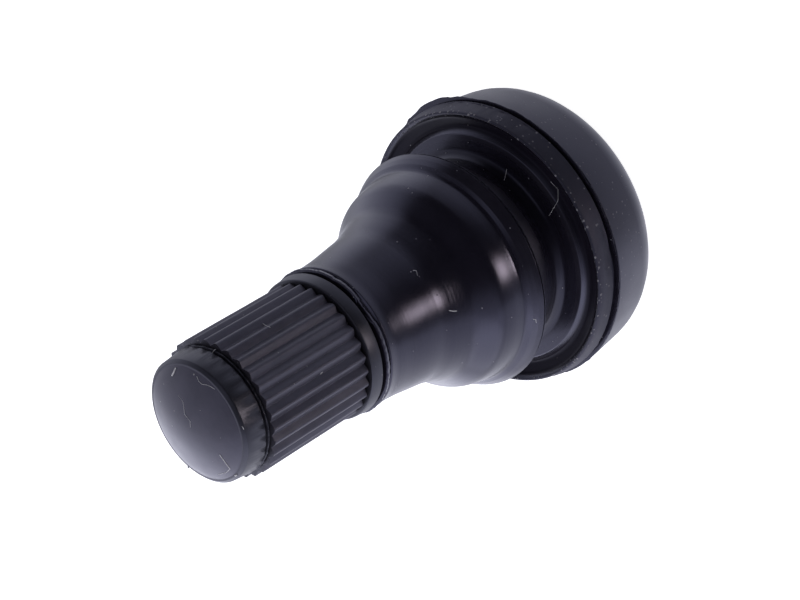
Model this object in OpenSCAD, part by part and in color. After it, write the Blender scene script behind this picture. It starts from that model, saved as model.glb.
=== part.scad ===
// Short snap-in tyre valve with its screw cap, for an 11.5 mm rim hole
// It stands on its base with its axis along +Z, and all sizes are in millimetres

/* [Rubber body] */
// Diameter of the flange at the parting line
flange_d = 20.0; // [18:0.1:24]
// Diameter of the base just above its rounded edge
base_d = 18.8; // [16:0.1:22.6]
// Height of the parting line above the bottom
base_h = 5.55; // [4.5:0.05:7]
// Radius of the base's rounded edge
base_round = 2.9; // [1:0.1:4]
// Height of the flange lip above the parting line
lip_h = 1.75; // [1:0.05:2.2]
// How far the flange narrows from the parting line to its lip
lip_lean = 0.34; // [0:0.01:0.6]
// Width of the dished face inside the flange lip
dish_w = 1.0; // [0.6:0.05:1.3]
// Depth of the dished face where it meets the sealing ridge
dish_depth = 0.55; // [0.1:0.05:0.8]
// How far the moulding flash stands out of the parting line
flash_out = 0.14; // [0.05:0.01:0.3]
// Thickness of the moulding flash
flash_h = 0.12; // [0.06:0.01:0.3]
// Diameter of the floor of the groove that grips the rim
seat_d = 12.8; // [11:0.1:15]
// Fillet between the flange and the floor of the groove
seat_round = 1.2; // [0.4:0.1:1.5]
// Distance from the flange lip to the widest edge of the bulge
seat_w = 3.5; // [2.8:0.1:4.2]
// Diameter of the bulge at its widest edge
bulge_d = 16.4; // [15.4:0.1:19.6]
// How far the underside of the bulge slopes down to the groove
undercut_h = 0.5; // [0.2:0.05:0.8]
// Height of the bevelled band above the widest edge
band_h = 0.93; // [0.6:0.01:1.4]
// How far the band swells out between the widest edge and the crease
band_swell = 0.07; // [0:0.01:0.12]
// Diameter at the crease above the band
crease_d = 15.26; // [14:0.02:16.2]
// Height from the crease to the shoulder
shoulder_h = 2.0; // [1.4:0.1:3]
// Diameter at the shoulder
shoulder_d = 13.92; // [12:0.02:15]
// How far the side swells out between the crease and the shoulder
shoulder_swell = 0.03; // [0:0.01:0.15]
// Radius of the shoulder
shoulder_round = 1.4; // [0.5:0.1:2]
// Height from the shoulder to the root of the neck
throat_h = 1.42; // [1:0.02:2.4]
// Diameter at the root of the neck
neck_root_d = 11.4; // [10.2:0.1:13.6]
// Radius of the hollow curve at the root of the neck
neck_root_round = 5; // [2:0.5:8]
// Height from the root of the neck to the end of the rubber
neck_h = 7.05; // [6:0.05:10]
// Diameter of the neck at its end
neck_end_d = 9.8; // [8.6:0.1:11.8]
// Diameter of the air hole through the base
air_hole_d = 3.2; // [3:0.1:4]

/* [Stem] */
// Outer diameter of the cap thread
thread_d = 7.7; // [7.6:0.05:9.4]
// Length of bare stem above the rubber
thread_l = 9.6; // [9:0.05:12]
// Diameter of the stem inside the rubber
shank_d = 7.0; // [6.6:0.05:7.4]
// Diameter of the foot that anchors the stem
foot_d = 8.8; // [8:0.1:10.6]
// Thickness of the foot
foot_h = 1.2; // [0.8:0.1:1.6]
// Height of the foot above the bottom
foot_z = 5.0; // [3.5:0.1:5.4]
// Bore of the core thread
core_bore_d = 5.24; // [5.1:0.02:5.6]
// Bore of the chamber below the core's seat
chamber_d = 3.9; // [3.7:0.05:4.2]
// Bore of the air passage below the chamber
air_bore_d = 2.8; // [2:0.1:3]

/* [Cap] */
// Gap between the rubber and the cap
cap_gap = 0.22; // [0.2:0.01:0.6]
// Wall between the cap's thread and the valleys of its ribs
cap_wall = 0.36; // [0.3:0.02:0.7]
// Number of ribs round the cap
rib_n = 30; // [18:1:40]
// Depth of the ribs
rib_depth = 0.28; // [0.15:0.01:0.4]
// Width of the flat along the crest of a rib
rib_crest_w = 0.12; // [0.05:0.01:0.2]
// Height of the plain collar at the open end
collar_h = 0.92; // [0.6:0.02:1.5]
// How far the collar stands out past the ribs
collar_out = 0.28; // [0.1:0.02:0.4]
// Length of the smooth end between the ribs and the dome
end_l = 1.83; // [1.5:0.01:2.3]
// How far the smooth end narrows towards the dome
end_draft = 0.2; // [0.05:0.01:0.3]
// Thickness of the cap over its seal, at the dome's edge
end_wall = 0.9; // [0.6:0.05:1.4]
// Height of the dome
dome_h = 1.0; // [0.4:0.05:1.6]
// Thickness of the rubber seal inside the cap
seal_t = 0.7; // [0.4:0.05:1]

/* [Valve core] */
// Diameter of the pin
pin_d = 1.0; // [0.8:0.05:1.1]
// Depth of the pin's top below the mouth of the stem
pin_recess = 0.25; // [0.1:0.05:0.6]
// How far the pin stands out of the bridge
pin_proud = 2.3; // [2:0.1:2.8]
// Travel of the pin when it is pressed
pin_travel = 1.8; // [1:0.1:1.9]
// Height of the bridge on the threaded plug
bridge_h = 1.5; // [1.2:0.1:2]
// Width across the flats of the bridge
bridge_w = 2.2; // [1.8:0.1:2.6]
// Length of the plug's thread
plug_l = 3.2; // [2.8:0.1:4]
// Diameter of the barrel below its collar
barrel_d = 2.8; // [2.7:0.05:3]
// Length of the barrel below its collar
barrel_l = 7.0; // [6:0.1:8.5]
// Bore of the barrel
barrel_bore_d = 2.1; // [2.05:0.05:2.2]
// Height of the gasket round the barrel
gasket_h = 1.8; // [1.4:0.1:2.4]
// Wire diameter of the spring
wire_d = 0.26; // [0.18:0.02:0.28]
// Turns of the spring
spring_turns = 9; // [6:0.5:12]
// Diameter of the cup that carries the cup gasket
cup_d = 3.1; // [2.9:0.05:3.3]
// Height of the cup gasket
cup_gasket_h = 1.2; // [0.8:0.1:1.6]

/* [Clearances] */
// Radial clearance of the cap on its thread
thread_clear = 0.08; // [0.05:0.01:0.2]
// Radial clearance of pieces that are pushed or screwed together
fit_clear = 0.03; // [0.02:0.01:0.05]
// Radial clearance of the pin in the bridge
pin_clear = 0.05; // [0.03:0.01:0.1]

/* [Hidden] */
$fn = 96;

// Overlap of a cut past the face that it opens
cut = 1;
// Steps in a rounded corner and in the dome
arc_steps = 8;

// Heights up the rubber body
lip_z = base_h + lip_h;
bulge_z = lip_z + seat_w;
band_z = bulge_z + band_h;
shoulder_z = band_z + shoulder_h;
throat_z = shoulder_z + throat_h;
rubber_end_z = throat_z + neck_h;
// The neck runs parallel over this length and flares a little at its very end
neck_parallel = 2.2;
end_flare = 0.08;
end_flare_h = 0.3;
neck_bend = 8;
// The sealing ridge stands up inside the dished face, and the face rises from it to the groove
ridge_h = dish_depth - 0.02;
ridge_w = 0.2;
ridge_rise = 0.3;
ridge_round = 0.45;
lip_round = 0.15;
dish_round = 0.1;
undercut_round = 0.35;
bulge_round = 0.12;
crease_round = 0.1;
swell_round = 6;
band_swell_round = 0.6;
// The air hole opens in a funnel at the bottom
funnel = 1;

// Stem: the thread starts above the rubber and ends in a chamfered tip
tip_z = rubber_end_z + thread_l;
thread_start = 0.15;
tip_chamfer = 0.5;
anchor_depth = 0.4;
anchor_w = 0.9;
anchor_rise = 3.2;
anchor_z = foot_z + foot_h + anchor_rise;
foot_round = 0.25;
shank_round = 0.4;
// The mouth's bevel leaves half of the tip's flat ring for the cap's seal
mouth_bevel = min(0.3, (thread_d / 2 - tip_chamfer - core_bore_d / 2) / 2);

// Cap: the bore follows the stem, and the outside is built out from the bore
cap_z = rubber_end_z + cap_gap;
cap_bore_r = thread_d / 2 + thread_clear;
valley_r = cap_bore_r + cap_wall;
crest_r = valley_r + rib_depth;
collar_r = crest_r + collar_out;
end_in = 0.09;
end_r = valley_r - end_in;
dome_round = 0.15;
cap_roof_z = tip_z + seal_t;
dome_z = cap_roof_z + end_wall;
rib_top_z = dome_z - end_l;
// A thin ring of flash between the ribs and the smooth end
flash_ring_h = 0.4;
flash_ring_in = 0.02;
collar_lean = 0.09;
collar_round = 0.08;
cap_lead = 0.35;
seal_r = thread_d / 2 - tip_chamfer;
seal_hole_r = 1.1;

// Valve core, stacked down from the mouth of the stem
pin_top_z = tip_z - pin_recess;
bridge_z = pin_top_z - pin_proud;
plug_z = bridge_z - bridge_h;
plug_bottom_z = plug_z - plug_l;
barrel_collar_h = 0.9;
barrel_collar_z = plug_bottom_z - barrel_collar_h;
barrel_z = barrel_collar_z - barrel_l;
barrel_lip_h = 0.7;
barrel_neck_h = 1.6;
barrel_wall = 0.3;
spring_z = barrel_z + barrel_lip_h;
pin_collar_h = 0.6;
pin_collar_drop = 0.15;
pin_collar_clear = 0.12;
pin_collar_z = plug_bottom_z - pin_collar_drop;
pin_tip_round = 0.2;
gasket_z = barrel_collar_z - gasket_h;
seat_step = 0.2;
seat_top_r = core_bore_d / 2 - seat_step;
cup_wall = 0.18;
cup_floor = 0.3;
cup_z = barrel_z - cup_gasket_h - cup_floor;
gasket_proud = 0.3;
rivet_h = 0.45;
rivet_out = 0.25;
rivet_round = 0.15;
rivet_r = pin_d / 2 + rivet_out;
rivet_z = cup_z - rivet_h;
chamber_room = 0.3;
chamber_z = rivet_z - pin_travel - chamber_room;
plug_bore_out = 0.07;
plug_bore_r = barrel_bore_d / 2 + barrel_wall + fit_clear + plug_bore_out;
plug_chamfer = 0.3;
bridge_t = 0.8;
bridge_in = 0.35;
bridge_root = 0.5;
// The barrel's neck is swaged out inside the plug so that it can turn there
swage_h = 0.2;
swage_room = 0.4;
barrel_bevel_w = 0.12;
barrel_bevel_h = 0.4;
barrel_round = 0.1;

function unit(v) = v / norm(v);

// One rounded corner: a, b and c are [x, y, radius], and b is the corner between a and c
function corner(a, b, c) =
    let (p = [b.x, b.y], back = [a.x, a.y] - p, ahead = [c.x, c.y] - p)
    let (half = acos(max(-1, min(1, unit(back) * unit(ahead)))) / 2)
    let (room = 0.49 * min(norm(back), norm(ahead)) * tan(half))
    let (r = min(b.z, room))
    r < 0.001 || half > 89.9 ? [p] :
    let (mid = p + unit(unit(back) + unit(ahead)) * r / sin(half))
    let (start = p + unit(back) * r / tan(half) - mid)
    let (turn = cross(back, ahead) > 0 ? -1 : 1, sweep = 180 - 2 * half, first = atan2(start.y, start.x))
    [for (i = [0:arc_steps]) mid + r * [cos(first + turn * sweep * i / arc_steps),
                                        sin(first + turn * sweep * i / arc_steps)]];

// An outline whose points are [x, y, radius], with each corner rounded by its radius
function rounded(points) =
    let (n = len(points))
    [for (i = [0:n - 1]) each corner(points[(i + n - 1) % n], points[i], points[(i + 1) % n])];

// A turned solid from an outline of [radius, height, corner radius]
module turned(points) {
    rotate_extrude() polygon(rounded(points));
}

// The stem's outside, filled in: the rubber is moulded round it
module stem_solid() {
    turned([
        [0, foot_z, 0],
        [foot_d / 2, foot_z, foot_round],
        [foot_d / 2, foot_z + foot_h, foot_round],
        [shank_d / 2, foot_z + 2 * foot_h, shank_round],
        [shank_d / 2, anchor_z, 0],
        [shank_d / 2 - anchor_depth, anchor_z + anchor_depth, 0],
        [shank_d / 2 - anchor_depth, anchor_z + anchor_depth + anchor_w, 0],
        [shank_d / 2, anchor_z + 2 * anchor_depth + anchor_w, 0],
        [shank_d / 2, rubber_end_z + thread_start, 0],
        [thread_d / 2, rubber_end_z + thread_start + (thread_d - shank_d) / 2, 0],
        [thread_d / 2, tip_z - tip_chamfer, 0],
        [thread_d / 2 - tip_chamfer, tip_z, 0],
        [0, tip_z, 0]
    ]);
}

// The passage through the stem: air bore, chamber, tapered core seat, core thread and bevelled mouth
module stem_passage() {
    air_cone = (chamber_d - air_bore_d) / 2;
    turned([
        [0, foot_z - cut, 0],
        [air_bore_d / 2, foot_z - cut, 0],
        [air_bore_d / 2, chamber_z - air_cone, 0],
        [chamber_d / 2, chamber_z, 0],
        [chamber_d / 2, gasket_z, 0],
        [seat_top_r, barrel_collar_z, 0],
        [core_bore_d / 2, barrel_collar_z, 0],
        [core_bore_d / 2, tip_z - mouth_bevel, 0],
        [core_bore_d / 2 + mouth_bevel + cut, tip_z + cut, 0],
        [0, tip_z + cut, 0]
    ]);
}

module rubber_body() {
    flange_r = flange_d / 2;
    lip_r = flange_r - lip_lean;
    ridge_r = lip_r - dish_w;
    neck_r = neck_end_d / 2;
    color("#22222a") difference() {
        turned([
            [0, 0, 0],
            [base_d / 2, 0, base_round],
            [flange_r, base_h - flash_h / 2, 0],
            [flange_r + flash_out, base_h - flash_h / 4, 0],
            [flange_r + flash_out, base_h + flash_h / 4, 0],
            [flange_r, base_h + flash_h / 2, 0],
            [lip_r, lip_z, lip_round],
            [ridge_r, lip_z - dish_depth, dish_round],
            [ridge_r - ridge_w, lip_z - dish_depth + ridge_h, ridge_round],
            [seat_d / 2, lip_z - dish_depth + ridge_h + ridge_rise, seat_round],
            [seat_d / 2, bulge_z - undercut_h, undercut_round],
            [bulge_d / 2, bulge_z, bulge_round],
            [(bulge_d + crease_d) / 4 + band_swell, bulge_z + band_h / 2, band_swell_round],
            [crease_d / 2, band_z, crease_round],
            [(crease_d + shoulder_d) / 4 + shoulder_swell, band_z + shoulder_h / 2, swell_round],
            [shoulder_d / 2, shoulder_z, shoulder_round],
            [neck_root_d / 2, throat_z, neck_root_round],
            [neck_r, rubber_end_z - neck_parallel, neck_bend],
            [neck_r, rubber_end_z - end_flare_h, end_flare_h],
            [neck_r + end_flare, rubber_end_z - end_flare_h / 4, 0],
            [neck_r, rubber_end_z, 0],
            [0, rubber_end_z, 0]
        ]);
        stem_solid();
        translate([0, 0, -cut]) cylinder(d = air_hole_d, h = foot_z + 2 * cut);
        translate([0, 0, -cut])
            cylinder(r1 = air_hole_d / 2 + funnel + cut, r2 = air_hole_d / 2, h = funnel + cut);
    }
}

module stem_insert() {
    color("#c8a24c") difference() {
        stem_solid();
        stem_passage();
    }
}

// Cross-section of the ribbed barrel of the cap: flat-topped ribs with V valleys between them
module rib_section() {
    pitch = 360 / rib_n;
    crest = asin(rib_crest_w / 2 / crest_r);
    polygon([for (i = [0:rib_n - 1]) each [
        valley_r * [cos(pitch * (i - 0.5)), sin(pitch * (i - 0.5))],
        crest_r * [cos(pitch * i - crest), sin(pitch * i - crest)],
        crest_r * [cos(pitch * i + crest), sin(pitch * i + crest)]
    ]]);
}

module cap() {
    collar_z = cap_z + collar_h;
    ring_r = valley_r - flash_ring_in;
    edge_r = end_r - end_draft;
    dome_r = (edge_r * edge_r + dome_h * dome_h) / (2 * dome_h);
    dome_half = asin(edge_r / dome_r);
    dome = [for (i = [1:arc_steps]) let (a = dome_half * (1 - i / arc_steps))
        [dome_r * sin(a), dome_z + dome_h - dome_r * (1 - cos(a)), 0]];
    color("#2b2b31") difference() {
        union() {
            turned(concat([
                [0, cap_z, 0],
                [collar_r, cap_z, collar_round],
                [collar_r - collar_lean, collar_z, collar_round],
                [ring_r, collar_z, 0],
                [ring_r, rib_top_z + flash_ring_h, 0],
                [end_r, rib_top_z + flash_ring_h, 0],
                [edge_r, dome_z, dome_round]
            ], dome));
            translate([0, 0, collar_z]) linear_extrude(rib_top_z - collar_z) rib_section();
        }
        cap_bore();
    }
}

// The cap's inside: a plain bore over the thread, a taper over the tip and a pocket for the seal
module cap_bore() {
    turned([
        [0, cap_z - cut, 0],
        [cap_bore_r + cap_lead + cut, cap_z - cut, 0],
        [cap_bore_r, cap_z + cap_lead, 0],
        [cap_bore_r, tip_z - tip_chamfer, 0],
        [cap_bore_r - tip_chamfer, tip_z, 0],
        [cap_bore_r - tip_chamfer, cap_roof_z, thread_clear],
        [0, cap_roof_z, 0]
    ]);
}

module cap_seal() {
    color("#3a3a3c") translate([0, 0, tip_z]) difference() {
        cylinder(r = seal_r, h = seal_t);
        translate([0, 0, -cut]) cylinder(r = seal_hole_r, h = seal_t + 2 * cut);
    }
}

// The threaded plug of the core: a ring that the barrel turns in, with a bridge that guides the pin
module core_swivel() {
    ring_r = core_bore_d / 2 - fit_clear;
    neck_r = barrel_bore_d / 2 + barrel_wall + fit_clear;
    bridge_r = ring_r - bridge_in;
    lip_room_z = plug_bottom_z + barrel_neck_h / 2;
    color("#d0ae5c") difference() {
        union() {
            turned([
                [0, plug_bottom_z, 0],
                [ring_r - plug_chamfer, plug_bottom_z, 0],
                [ring_r, plug_bottom_z + plug_chamfer, 0],
                [ring_r, plug_z - plug_chamfer, 0],
                [ring_r - plug_chamfer, plug_z, 0],
                [0, plug_z, 0]
            ]);
            intersection() {
                translate([0, 0, plug_z - bridge_root]) cylinder(r = bridge_r, h = bridge_h + bridge_root);
                translate([-bridge_r, -bridge_w / 2, plug_z - bridge_root])
                    cube([2 * bridge_r, bridge_w, bridge_h + bridge_root]);
            }
        }
        turned([
            [0, plug_bottom_z - cut, 0],
            [neck_r, plug_bottom_z - cut, 0],
            [neck_r, lip_room_z, 0],
            [neck_r + barrel_wall, lip_room_z, 0],
            [neck_r + barrel_wall, plug_bottom_z + barrel_neck_h + swage_room, 0],
            [plug_bore_r, plug_bottom_z + barrel_neck_h + 2 * swage_room, 0],
            [plug_bore_r, bridge_z - bridge_t, 0],
            [0, bridge_z - bridge_t, 0]
        ]);
        translate([0, 0, plug_z]) cylinder(r = pin_d / 2 + pin_clear, h = bridge_h + cut);
    }
}

// The barrel: a tube with a collar on the gasket, a swaged neck in the plug and an inner lip for the spring
module core_barrel() {
    bore_r = barrel_bore_d / 2;
    neck_r = bore_r + barrel_wall;
    lip_bore_r = bore_r - wire_d;
    lip_z0 = plug_bottom_z + barrel_neck_h / 2 + fit_clear;
    color("#c29c48") difference() {
        turned([
            [0, barrel_z, 0],
            [barrel_d / 2 - barrel_bevel_w, barrel_z, 0],
            [barrel_d / 2, barrel_z + barrel_bevel_h, 0],
            [barrel_d / 2, barrel_collar_z, 0],
            [seat_top_r - 2 * fit_clear, barrel_collar_z, barrel_round],
            [seat_top_r - 2 * fit_clear, plug_bottom_z, barrel_round],
            [neck_r, plug_bottom_z, 0],
            [neck_r, lip_z0, 0],
            [neck_r + barrel_wall - fit_clear, lip_z0 + swage_h, 0],
            [neck_r + barrel_wall - fit_clear, plug_bottom_z + barrel_neck_h, 0],
            [0, plug_bottom_z + barrel_neck_h, 0]
        ]);
        translate([0, 0, spring_z]) cylinder(r = bore_r, h = barrel_l + barrel_neck_h + 2 * cut);
        translate([0, 0, barrel_z - cut]) cylinder(r = lip_bore_r, h = barrel_lip_h + 2 * cut);
    }
}

// The gasket round the barrel, tapered like the seat that it closes
module barrel_gasket() {
    color("#b8322a") difference() {
        translate([0, 0, gasket_z])
            cylinder(r1 = chamber_d / 2 - fit_clear, r2 = seat_top_r - fit_clear, h = gasket_h);
        translate([0, 0, gasket_z - cut]) cylinder(r = barrel_d / 2 + fit_clear, h = gasket_h + 2 * cut);
    }
}

module core_pin() {
    pin_r = pin_d / 2;
    collar_r = barrel_bore_d / 2 - pin_collar_clear;
    color("#b9bcc2") turned([
        [0, rivet_z, 0],
        [rivet_r, rivet_z, rivet_round],
        [rivet_r, cup_z, 0],
        [pin_r, cup_z, 0],
        [pin_r, pin_collar_z, 0],
        [collar_r, pin_collar_z, 0],
        [collar_r, pin_collar_z + pin_collar_h / 2, 0],
        [pin_r, pin_collar_z + pin_collar_h, 0],
        [pin_r, pin_top_z, pin_tip_round],
        [0, pin_top_z, 0]
    ]);
}

module core_cup() {
    rim_z = barrel_z - gasket_proud;
    color("#c8a24c") difference() {
        translate([0, 0, cup_z]) cylinder(d = cup_d, h = rim_z - cup_z);
        translate([0, 0, cup_z + cup_floor]) cylinder(r = cup_d / 2 - cup_wall, h = rim_z - cup_z);
        translate([0, 0, cup_z - cut]) cylinder(r = pin_d / 2 + fit_clear, h = cup_floor + 2 * cut);
    }
}

module cup_gasket() {
    color("#1c1c1e") translate([0, 0, cup_z + cup_floor]) difference() {
        cylinder(r = cup_d / 2 - cup_wall - fit_clear, h = cup_gasket_h);
        translate([0, 0, -cut]) cylinder(r = pin_d / 2 + fit_clear, h = cup_gasket_h + 2 * cut);
    }
}

// A wire swept along a helix with a closed turn at each end, as rings of points
module core_spring() {
    sides = 8;
    turn_steps = 16;
    wire_r = wire_d / 2;
    coil_r = (barrel_bore_d / 2 + pin_d / 2) / 2;
    end_gap = 0.02;
    low_z = spring_z + end_gap + wire_r;
    high_z = pin_collar_z - end_gap - wire_r;
    closed_rise = 1.08 * wire_d;
    open_turns = spring_turns - 2;
    open_rise = (high_z - low_z - 2 * closed_rise) / open_turns;
    rings = spring_turns * turn_steps;
    function coil_z(t) =
        t < 1 ? low_z + closed_rise * t :
        t < 1 + open_turns ? low_z + closed_rise + open_rise * (t - 1) :
        high_z - closed_rise * (spring_turns - t);
    points = [for (i = [0:rings]) let (t = i / turn_steps, a = 360 * t)
        for (j = [0:sides - 1]) let (b = 360 * j / sides, r = coil_r + wire_r * cos(b))
            [r * cos(a), r * sin(a), coil_z(t) + wire_r * sin(b)]];
    walls = [for (i = [0:rings - 1]) for (j = [0:sides - 1]) let (k = (j + 1) % sides)
        each [[i * sides + j, (i + 1) * sides + j, (i + 1) * sides + k],
              [i * sides + j, (i + 1) * sides + k, i * sides + k]]];
    first_end = [for (j = [0:sides - 1]) j];
    last_end = [for (j = [sides - 1:-1:0]) rings * sides + j];
    color("#a8aab0") polyhedron(points, concat(walls, [first_end, last_end]));
}

rubber_body();
stem_insert();
cap();
cap_seal();
core_swivel();
core_barrel();
barrel_gasket();
core_pin();
core_cup();
cup_gasket();
core_spring();
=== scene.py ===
# %% [markdown]
# # A short snap-in tyre valve
# The valve is a moulded rubber body round a brass stem, with a sprung valve core inside the stem and a
# ribbed plastic cap screwed over it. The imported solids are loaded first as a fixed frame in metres, with
# +Z along the valve from its base to its cap. Every piece below is modelled to sit in that frame.

# %% Load the frame
import math

import bpy
from mathutils import Matrix, Vector, noise
from mathutils.bvhtree import BVHTree


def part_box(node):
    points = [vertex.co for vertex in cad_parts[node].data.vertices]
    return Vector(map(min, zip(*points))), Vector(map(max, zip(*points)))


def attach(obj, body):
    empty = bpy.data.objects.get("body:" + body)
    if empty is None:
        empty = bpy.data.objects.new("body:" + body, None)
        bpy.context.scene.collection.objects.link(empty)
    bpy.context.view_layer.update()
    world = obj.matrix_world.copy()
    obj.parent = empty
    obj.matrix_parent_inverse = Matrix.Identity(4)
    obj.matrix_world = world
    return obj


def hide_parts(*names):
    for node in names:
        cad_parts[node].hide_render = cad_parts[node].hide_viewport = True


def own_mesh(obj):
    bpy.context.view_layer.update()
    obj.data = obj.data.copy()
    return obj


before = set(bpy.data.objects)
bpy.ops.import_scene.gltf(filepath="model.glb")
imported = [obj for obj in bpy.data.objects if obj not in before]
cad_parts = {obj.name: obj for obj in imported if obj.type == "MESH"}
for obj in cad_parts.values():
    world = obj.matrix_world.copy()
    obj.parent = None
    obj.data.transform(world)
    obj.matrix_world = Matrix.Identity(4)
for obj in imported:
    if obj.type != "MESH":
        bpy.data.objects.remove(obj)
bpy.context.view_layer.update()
mm = 0.001
print("solids:", ", ".join(sorted(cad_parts)))

# %% [markdown]
# ## Drawing an outline and turning it
# Most of a valve is turned or moulded in round tools, so most pieces start as half an outline that is spun
# about the axis. By hand that is one vertex, extruded from corner to corner, then the Spin tool or the Screw
# modifier. The modifier is quicker with hundreds of steps, and it also climbs, which makes threads. A corner
# carries its own radius, and `rounded` swaps it for an arc before the outline is drawn.

# %% Outline helpers
TURN = 2 * math.pi


def pick_none():
    """Object mode, with nothing selected."""
    if bpy.context.mode != "OBJECT":
        bpy.ops.object.mode_set(mode="OBJECT")
    bpy.ops.object.select_all(action="DESELECT")


def pick(*pieces):
    """Selects pieces, with the first one active."""
    pick_none()
    for piece in pieces:
        piece.select_set(True)
    bpy.context.view_layer.objects.active = pieces[0]


def rounded(corners, steps=6):
    """Corners of (radius out, height, corner radius) as an outline with an arc at each corner."""
    outline = []
    last = len(corners) - 1
    for i, (out, height, radius) in enumerate(corners):
        here = Vector((out, height))
        if radius == 0 or i in (0, last):
            outline.append(here)
            continue
        back = Vector(corners[i - 1][:2]) - here
        ahead = Vector(corners[i + 1][:2]) - here
        half = back.angle(ahead) / 2
        reach = min(radius / math.tan(half), 0.49 * min(back.length, ahead.length))
        start, end = here + back.normalized() * reach, here + ahead.normalized() * reach
        pull = math.sin(half)
        for k in range(steps + 1):
            t = k / steps
            a, b, c = (1 - t) ** 2, 2 * pull * t * (1 - t), t ** 2
            outline.append((a * start + b * here + c * end) / (a + b + c))
    return outline


def draw(name, outline):
    """A new piece in edit mode: one vertex extruded along an outline in millimetres, in the XZ plane."""
    pick_none()
    bpy.ops.mesh.primitive_plane_add(size=mm)
    piece = bpy.context.object
    piece.name = piece.data.name = name
    bpy.ops.object.mode_set(mode="EDIT")
    bpy.ops.mesh.select_all(action="SELECT")
    bpy.ops.mesh.merge(type="CENTER")
    here = Vector((0, 0, 0))
    for i, (out, height) in enumerate(outline):
        step = Vector((out, 0, height)) * mm - here
        if i == 0:
            bpy.ops.transform.translate(value=step)
        else:
            bpy.ops.mesh.extrude_vertices_move(TRANSFORM_OT_translate={"value": step})
        here += step
    return piece


def close_up(piece, smooth_angle=35):
    """Merges the doubles, turns the faces outwards and leaves edit mode with smooth shading."""
    bpy.ops.mesh.select_all(action="SELECT")
    bpy.ops.mesh.remove_doubles(threshold=0.0005 * mm)
    bpy.ops.mesh.normals_make_consistent(inside=False)
    bpy.ops.object.mode_set(mode="OBJECT")
    bpy.ops.object.shade_smooth_by_angle(angle=math.radians(smooth_angle))
    return piece


def sweep(piece, steps, rise=0.0, turns=1):
    """Sweeps the drawn outline round the axis with the Screw modifier, climbing by rise mm a turn."""
    bpy.ops.mesh.select_all(action="SELECT")
    bpy.ops.mesh.remove_doubles(threshold=0.0005 * mm)
    bpy.ops.object.mode_set(mode="OBJECT")
    screw = piece.modifiers.new("sweep", "SCREW")
    screw.axis = "Z"
    screw.angle = TURN
    screw.screw_offset = rise * mm
    screw.iterations = turns
    screw.steps = screw.render_steps = steps
    bpy.ops.object.modifier_apply(modifier=screw.name)
    bpy.ops.object.mode_set(mode="EDIT")


def turned(name, outline, steps=192):
    """An outline swept once round the valve's axis."""
    piece = draw(name, outline)
    sweep(piece, steps)
    return close_up(piece)


def screwed(name, outline, pitch, turns, steps=64):
    """A closed outline swept along a helix, with its two ends filled."""
    piece = draw(name, outline + outline[:1])
    sweep(piece, steps, pitch, turns)
    bpy.ops.mesh.select_all(action="DESELECT")
    bpy.ops.mesh.select_non_manifold()
    bpy.ops.mesh.fill_holes(sides=len(outline) + 1)
    return close_up(piece)


def join(piece, *others):
    """Joins pieces into the first."""
    pick(piece, *others)
    bpy.ops.object.join()
    return piece


def settle(piece, body, slot, *nodes):
    """Gives a finished piece its body and the solids that it stands for. The slot is not used."""
    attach(piece, body)
    if nodes:
        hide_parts(*nodes)
    print(f"{piece.name}: {len(piece.data.polygons)} faces on {body}")
    return piece


def ragged(angle, height, scale):
    """A repeatable rough number from -1 to 1 for a place round the valve."""
    return noise.noise(Vector((math.cos(angle) * scale, math.sin(angle) * scale, height)))


# %% [markdown]
# ## The rubber body
# The body is one moulding: a domed base, a flange with a dished face and a sealing ridge, the groove that
# grips the rim, a bulge with a bevelled band, and the neck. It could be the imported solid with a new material,
# but real moulded rubber shows where the tool closed: a thin ragged fin in a nick round the flange, a torn
# edge at the neck's end and a slightly uneven lip. So the outline is drawn again with those, spun finely,
# and the flash rings are then pulled out of true.
#
# The shoulder flows into the neck with no corner in it. There the radius is `FULL`, far more than fits, so that
# each corner is rounded as far as its neighbours allow and the points only steer one smooth curve.

# %% Rubber body outline
FULL = 99
nick_low, nick_high = 5.46, 5.82
fin_out, fin_low, fin_high = 10.0, 5.53, 5.56
nick_top = 5.99
lip_top = 7.3
groove_out = 6.4
neck_end_out = 4.94
rubber_end = 22.2
shank_out, anchor_out = 3.5, 3.1
foot_corners = [
    (2.6, 0, 0),
    (9.4, 0, 2.9),
    (9.97, 5.40, 0.05),
]
parting_corners = [
    (9.80, nick_low, 0),
    (9.82, 5.50, 0),
    (fin_out, fin_low, 0),
    (fin_out, fin_high, 0),
    (9.68, 5.60, 0),
    (9.64, 5.74, 0),
    (9.90, nick_high, 0.04),
    (9.88, 5.95, 0),
    (9.87, nick_top, 0),
    (9.86, 6.04, 0),
]
dish_corners = [
    (9.64, lip_top, 0.12),
    (9.22, 6.82, 0.6),
    (8.50, 6.60, 0.3),
    (8.08, 7.02, 0.14),
    (groove_out, 7.10, 0.75),
    (groove_out, 10.3, 0.35),
]
bulge_corners = [
    (8.12, 10.74, 0.2),
    (8.19, 10.8, 0.02),
    (8.04, 10.83, 0),
    (8.04, 10.88, 0),
    (8.18, 10.92, 0.03),
    (8.0, 11.28, 0.4),
    (7.78, 11.60, 0.15),
    (7.42, 11.90, 0.5),
]
neck_corners = [
    (7.28, 12.90, FULL),
    (7.06, 13.75, FULL),
    (6.54, 14.35, FULL),
    (5.97, 15.00, FULL),
    (5.71, 15.72, FULL),
    (5.32, 17.00, FULL),
    (5.20, 17.95, FULL),
    (5.07, 18.90, FULL),
    (4.935, 19.90, FULL),
    (4.86, 21.20, 3),
]
torn_end_corners = [
    (4.92, 21.72, 0.06),
    (4.76, 21.82, 0),
    (4.76, 21.86, 0),
    (4.88, 21.92, 0.03),
    (neck_end_out, 22.14, 0.04),
    (4.82, rubber_end, 0),
]
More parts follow.
